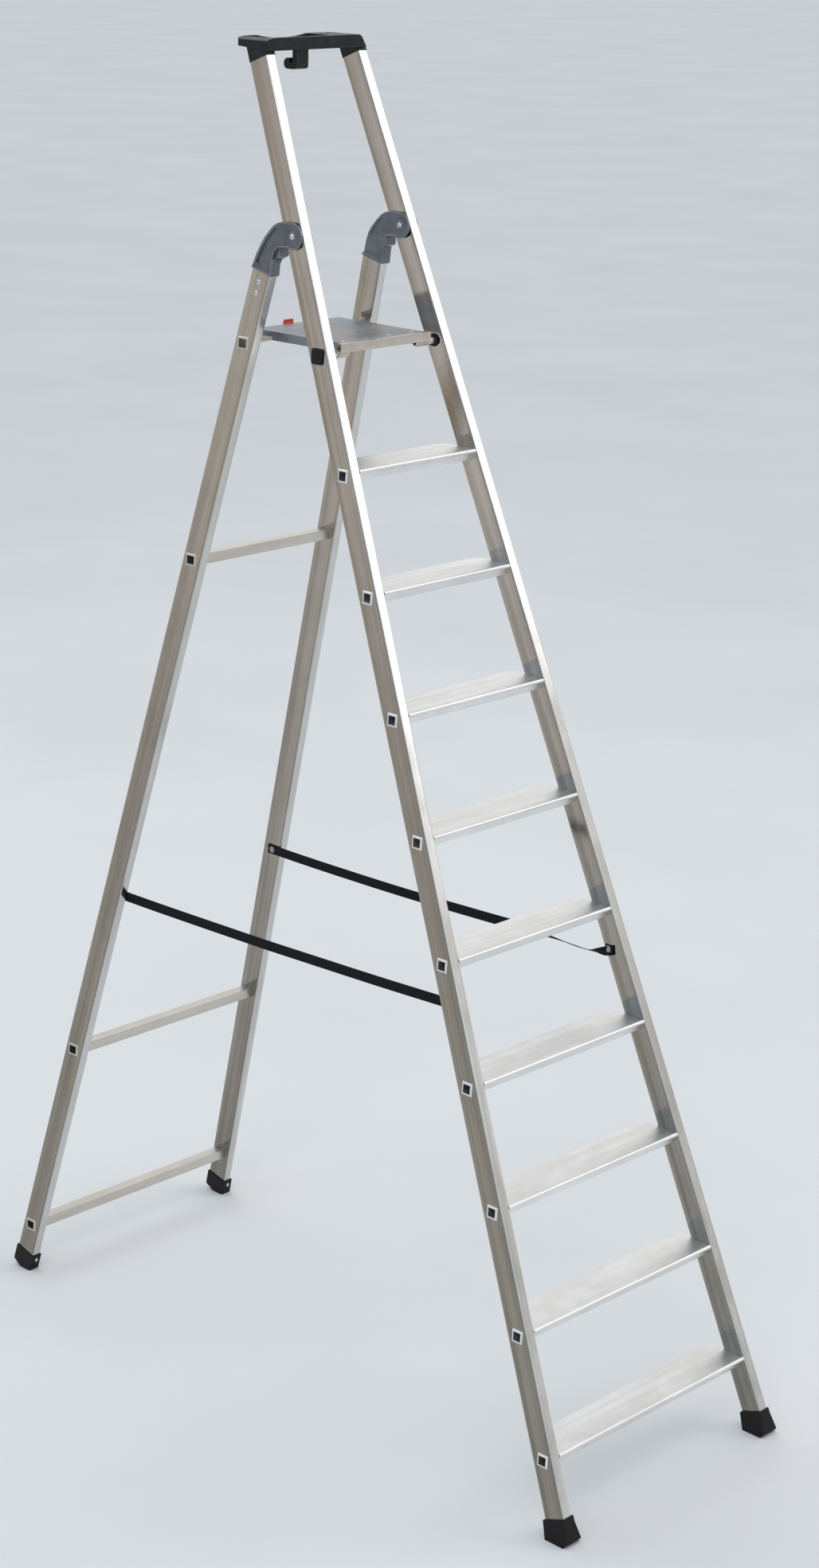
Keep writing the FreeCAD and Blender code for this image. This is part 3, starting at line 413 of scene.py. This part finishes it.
# ---------------------------------------------------------------- check straps
def ribbon(name, centre):
    """Flat band along centre, a list of (point, across) pairs; across is the width's direction."""
    bm = bmesh.new()
    uv_layer = bm.loops.layers.uv.new("UVMap")
    profile = [(-0.5, 0.30), (-0.46, 0.5), (0.0, 0.42), (0.46, 0.5), (0.5, 0.30),
               (0.5, -0.30), (0.46, -0.5), (0.0, -0.42), (-0.46, -0.5), (-0.5, -0.30)]
    rings, runs, run = [], [], 0.0
    for i, (p, across) in enumerate(centre):
        a = centre[max(i - 1, 0)][0]
        b = centre[min(i + 1, len(centre) - 1)][0]
        normal = (b - a).normalized().cross(across).normalized()
        if i:
            run += (p - centre[i - 1][0]).length
        runs.append(run)
        rings.append([bm.verts.new(p + across * (u * STRAP_WIDTH) + normal * (v * STRAP_THICK))
                      for u, v in profile])
    n = len(profile)
    for i in range(len(rings) - 1):
        for j in range(n):
            k = (j + 1) % n
            face = bm.faces.new((rings[i][j], rings[i][k], rings[i + 1][k], rings[i + 1][j]))
            face.smooth = True
            uvs = ((runs[i], profile[j][0]), (runs[i], profile[k][0]),
                   (runs[i + 1], profile[k][0]), (runs[i + 1], profile[j][0]))
            for loop, (u, v) in zip(face.loops, uvs):
                loop[uv_layer].uv = (u, v + 0.5)
    bm.faces.new(rings[0][::-1])
    bm.faces.new(rings[-1])
    bmesh.ops.recalc_face_normals(bm, faces=bm.faces)
    mesh = bpy.data.meshes.new(name)
    bm.to_mesh(mesh)
    bm.free()
    obj = bpy.data.objects.new(name, mesh)
    bpy.context.scene.collection.objects.link(obj)
    mesh.materials.append(MATS["webbing"])
    return obj


def middle_z(node):
    lo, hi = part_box(node)
    return (lo.z + hi.z) / 2


def check_strap(side):
    """The webbing from the rear stile's rivet to the front stile's, slightly slack."""
    suffix = "left" if side < 0 else "right"
    lo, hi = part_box("strap_" + suffix)
    za, zb = middle_z("strap_rivets_rear"), middle_z("strap_rivets_front")
    xs = sorted((abs(lo.x), abs(hi.x)))
    xa, xb = xs[0] + STRAP_THICK / 2, xs[1] - STRAP_THICK / 2
    ya, yb = hi.y, lo.y
    centre = []
    for i in range(STRAP_STEPS + 1):
        t = i / STRAP_STEPS
        x = side * (xa + (xb - xa) * t)
        y = ya + (yb - ya) * t
        z = za + (zb - za) * t - 4 * STRAP_SAG[side] * t * (1 - t)
        ripple = 0.0010 * math.sin(9.0 * t + side) * math.sin(math.pi * t)
        turn = 0.0
        if side > 0 and t > TURN_FROM:
            away = math.sin(math.pi / 2 * min((t - TURN_FROM) / TURN_OVER, 1.0))
            back = max(0.0, (t - TURN_BACK_FROM) / TURN_BACK_OVER)
            turn = TURN_ANGLE * away * max(0.0, 1 - back)
            z -= DIP_DEPTH * math.sin(math.pi * max(0.0, (t - DIP_FROM) / DIP_OVER) ** 2)
        across = Vector((-side * math.sin(turn), 0, math.cos(turn)))
        # half the nominal width, so that the turned strap stays clear of the stile
        inward = -side * (0.012 * math.sin(turn) + abs(ripple))
        centre.append((Vector((x + inward, y, z)), across))
    obj = ribbon("check_strap_" + suffix, centre)
    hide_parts("strap_" + suffix)
    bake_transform(obj)


for side in (-1, 1):
    check_strap(side)


# ---------------------------------------------------------------- stage, light, camera
def plane(name, size, location, mat):
    bm = bmesh.new()
    h = size / 2
    bm.faces.new([bm.verts.new(v) for v in ((-h, -h, 0), (h, -h, 0), (h, h, 0), (-h, h, 0))])
    mesh = bpy.data.meshes.new(name)
    bm.to_mesh(mesh)
    bm.free()
    obj = bpy.data.objects.new(name, mesh)
    obj.location = location
    bpy.context.scene.collection.objects.link(obj)
    mesh.materials.append(mat)


def floor_material():
    m = Nodes("pale_floor")
    cloud = m.noise(0.8, 3)
    tone = m.ramp(cloud, [(0.3, (0.72, 0.715, 0.705)), (0.7, (0.76, 0.755, 0.745))])
    m.set(Base_Color=tone, Roughness=0.9, Specular_IOR_Level=0.1)
    return m.mat


def area(name, location, target, size, power, color, size_y=None):
    """Rectangular soft light, square unless size_y is given."""
    data = bpy.data.lights.new(name, "AREA")
    data.energy = power
    data.color = color
    data.shape = "RECTANGLE"
    data.size = size
    data.size_y = size_y or size
    obj = bpy.data.objects.new(name, data)
    obj.location = location
    direction = Vector(target) - Vector(location)
    obj.rotation_euler = direction.to_track_quat("-Z", "Y").to_euler()
    bpy.context.scene.collection.objects.link(obj)


def studio_world():
    """Soft dome: bright behind, darker at the near horizon, bluish grey to the left."""
    world = bpy.data.worlds.new("studio")
    world.use_nodes = True
    tree = world.node_tree
    tree.nodes.clear()

    def new(kind):
        return tree.nodes.new(kind)

    def gradient(value, stops):
        node = new("ShaderNodeValToRGB")
        el = node.color_ramp.elements
        while len(el) < len(stops):
            el.new(0.5)
        for item, (pos, color) in zip(el, stops):
            item.position, item.color = pos, (*color, 1)
        tree.links.new(value, node.inputs[0])
        return node.outputs[0]

    def blend(value, low, high, a, b):
        share = new("ShaderNodeMapRange")
        tree.links.new(value, share.inputs[0])
        share.inputs[1].default_value, share.inputs[2].default_value = low, high
        node = new("ShaderNodeMix")
        node.data_type = "RGBA"
        tree.links.new(share.outputs[0], node.inputs[0])
        tree.links.new(a, node.inputs[6])
        tree.links.new(b, node.inputs[7])
        return node.outputs[2]

    split = new("ShaderNodeSeparateXYZ")
    tree.links.new(new("ShaderNodeTexCoord").outputs["Generated"], split.inputs[0])
    up = split.outputs[2]
    near = gradient(up, [(0.0, (0.42, 0.41, 0.38)), (0.10, (0.52, 0.51, 0.49)),
                         (0.26, (0.86, 0.86, 0.84)), (1.0, (0.90, 0.92, 0.95))])
    far = gradient(up, [(0.0, (1.05, 1.04, 1.02)), (0.25, (0.94, 0.94, 0.93)),
                        (0.5, (0.80, 0.80, 0.79)), (1.0, (0.90, 0.92, 0.95))])
    left = gradient(up, [(0.0, (0.60, 0.58, 0.55)), (0.10, (0.42, 0.53, 0.66)),
                         (0.45, (0.52, 0.68, 0.88)), (1.0, (0.90, 0.92, 0.95))])
    right = blend(split.outputs[1], -0.2, 0.2, near, far)
    sky = blend(split.outputs[0], -0.25, 0.25, left, right)
    back = new("ShaderNodeBackground")
    tree.links.new(sky, back.inputs[0])
    back.inputs[1].default_value = 1.0
    out = new("ShaderNodeOutputWorld")
    tree.links.new(back.outputs[0], out.inputs[0])
    bpy.context.scene.world = world


def photo_camera():
    data = bpy.data.cameras.new("camera")
    data.sensor_fit = "VERTICAL"
    data.sensor_height = 36.0
    data.lens = CAMERA_LENS
    data.shift_x, data.shift_y = CAMERA_SHIFT
    data.clip_end = 200.0
    data.clip_start = 0.05
    obj = bpy.data.objects.new("camera", data)
    yaw, pitch, roll = (math.radians(a) for a in (CAMERA_YAW, CAMERA_PITCH, CAMERA_ROLL))
    level = Vector((-math.sin(yaw), math.cos(yaw), 0))
    forward = level * math.cos(pitch) - Vector((0, 0, math.sin(pitch)))
    right = Vector((math.cos(yaw), math.sin(yaw), 0))
    up = right.cross(forward)
    r = right * math.cos(roll) + up * math.sin(roll)
    u = up * math.cos(roll) - right * math.sin(roll)
    turn = Matrix((r, u, -forward)).transposed()
    obj.matrix_world = Matrix.Translation(CAMERA_PLACE) @ turn.to_4x4()
    bpy.context.scene.collection.objects.link(obj)
    bpy.context.scene.camera = obj


plane("floor", FLOOR_SIZE, (0, 0, FLOOR_Z), floor_material())
studio_world()
area("key", location=(5.9, -5.6, 5.9), target=(-0.2, 0.0, 2.4), size=4.8, power=95,
     color=(1.0, 0.985, 0.96), size_y=4.0)
area("rim", location=(-4.5, -2.5, 6.8), target=(0, 0, 1.6), size=3.0, power=60,
     color=(1.0, 0.98, 0.95))
area("sky", location=(1.0, 4.5, 7.5), target=(0, 0, 1.6), size=4.0, power=90,
     color=(0.90, 0.95, 1.0))
photo_camera()
bpy.context.scene.view_settings.view_transform = "Standard"
